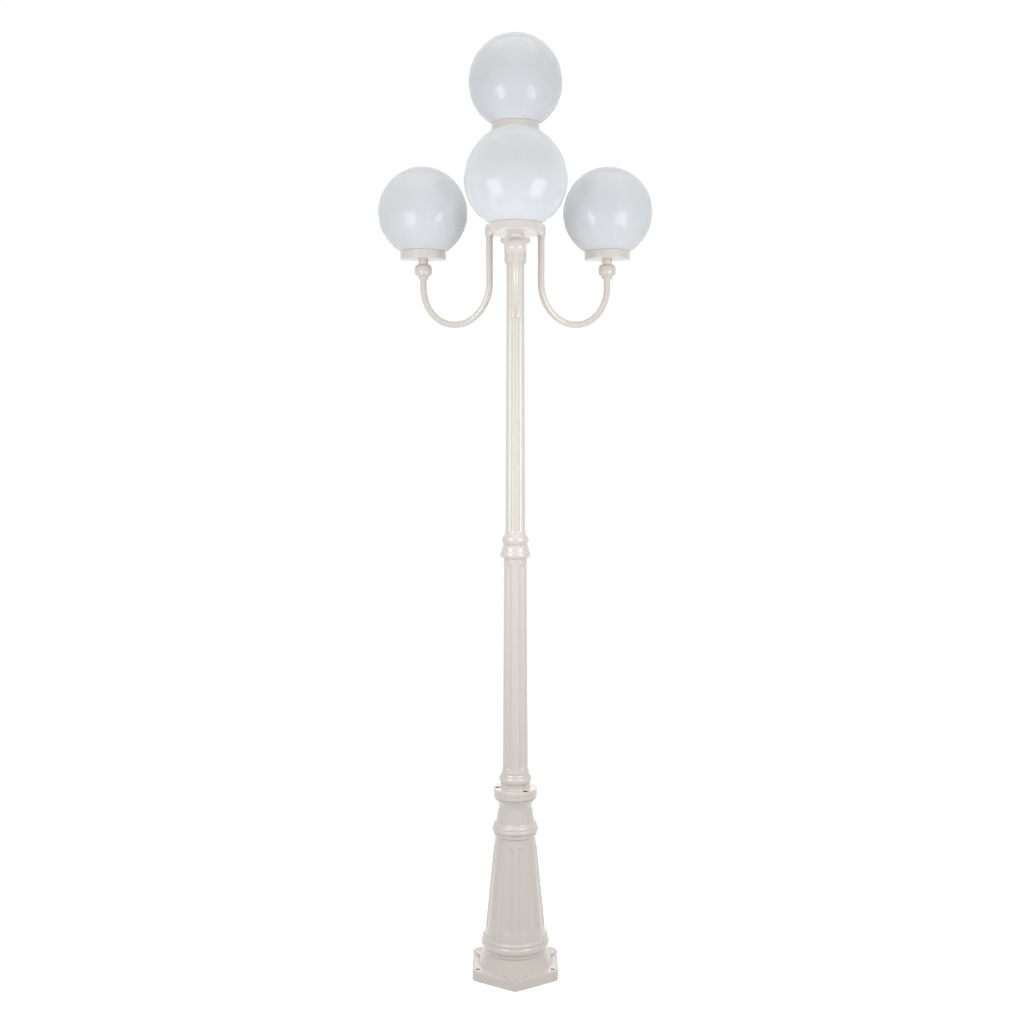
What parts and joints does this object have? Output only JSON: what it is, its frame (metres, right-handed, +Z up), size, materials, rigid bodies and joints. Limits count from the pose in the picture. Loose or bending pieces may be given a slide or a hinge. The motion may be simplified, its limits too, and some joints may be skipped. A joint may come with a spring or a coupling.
{
  "type": "globe lamp post",
  "caption": "Garden lamp post with a fluted column on a hexagonal foot, opal globes on curved arms and one on top; globes lift off and lamps unscrew.",
  "frame": {"origin": "on the post's axis at the underside of the foot, which stands on the ground", "axes": "+Z up along the post, -Y to the front, where one arm and one corner of the foot point"},
  "size_m": [0.7618, 0.6932, 2.5304],
  "materials": {
    "cream_paint": "gloss",
    "opal_acrylic": "gloss",
    "black_steel": "satin",
    "zinc_steel": "satin",
    "black_rubber": "matte",
    "white_porcelain": "gloss",
    "contact_brass": "satin",
    "lamp_cap_metal": "satin",
    "frosted_glass": "matte"
  },
  "bodies": {
    "post": {"base_pedestal": "cream_paint", "flange_bolts": "black_steel", "lower_shaft": "cream_paint", "shaft_collar": "cream_paint", "upper_shaft": "cream_paint", "arm_hub": "cream_paint", "hub_grub_screws": "black_steel", "top_stem": "cream_paint", "front_arm": "cream_paint", "right_arm": "cream_paint", "left_arm": "cream_paint", "front_coupling": "cream_paint", "front_fitter": "cream_paint", "front_nipple": "zinc_steel", "front_lock_nut": "zinc_steel", "front_gasket": "black_rubber", "front_lampholder": "white_porcelain", "front_contact_sleeve": "contact_brass", "right_coupling": "cream_paint", "right_fitter": "cream_paint", "right_nipple": "zinc_steel", "right_lock_nut": "zinc_steel", "right_gasket": "black_rubber", "right_lampholder": "white_porcelain", "right_contact_sleeve": "contact_brass", "left_coupling": "cream_paint", "left_fitter": "cream_paint", "left_nipple": "zinc_steel", "left_lock_nut": "zinc_steel", "left_gasket": "black_rubber", "left_lampholder": "white_porcelain", "left_contact_sleeve": "contact_brass", "top_coupling": "cream_paint", "top_fitter": "cream_paint", "top_nipple": "zinc_steel", "top_lock_nut": "zinc_steel", "top_gasket": "black_rubber", "top_lampholder": "white_porcelain", "top_contact_sleeve": "contact_brass"},
    "front_globe": {"front_globe": "opal_acrylic"},
    "front_lamp": {"front_lamp_cap": "lamp_cap_metal", "front_lamp_bulb": "frosted_glass"},
    "right_globe": {"right_globe": "opal_acrylic"},
    "right_lamp": {"right_lamp_cap": "lamp_cap_metal", "right_lamp_bulb": "frosted_glass"},
    "left_globe": {"left_globe": "opal_acrylic"},
    "left_lamp": {"left_lamp_cap": "lamp_cap_metal", "left_lamp_bulb": "frosted_glass"},
    "top_globe": {"top_globe": "opal_acrylic"},
    "top_lamp": {"top_lamp_cap": "lamp_cap_metal", "top_lamp_bulb": "frosted_glass"}
  },
  "joints": [
    {"name": "front_globe_lift", "type": "slide", "parent": "post", "child": "front_globe", "axis": [0, 0, 1], "range_m": [0, 0.15]},
    {"name": "front_lamp_unscrew", "type": "slide", "parent": "post", "child": "front_lamp", "axis": [0, 0, 1], "range_m": [0, 0.028]},
    {"name": "right_globe_lift", "type": "slide", "parent": "post", "child": "right_globe", "axis": [0, 0, 1], "range_m": [0, 0.15]},
    {"name": "right_lamp_unscrew", "type": "slide", "parent": "post", "child": "right_lamp", "axis": [0, 0, 1], "range_m": [0, 0.028]},
    {"name": "left_globe_lift", "type": "slide", "parent": "post", "child": "left_globe", "axis": [0, 0, 1], "range_m": [0, 0.15]},
    {"name": "left_lamp_unscrew", "type": "slide", "parent": "post", "child": "left_lamp", "axis": [0, 0, 1], "range_m": [0, 0.028]},
    {"name": "top_globe_lift", "type": "slide", "parent": "post", "child": "top_globe", "axis": [0, 0, 1], "range_m": [0, 0.15]},
    {"name": "top_lamp_unscrew", "type": "slide", "parent": "post", "child": "top_lamp", "axis": [0, 0, 1], "range_m": [0, 0.028]}
  ]
}
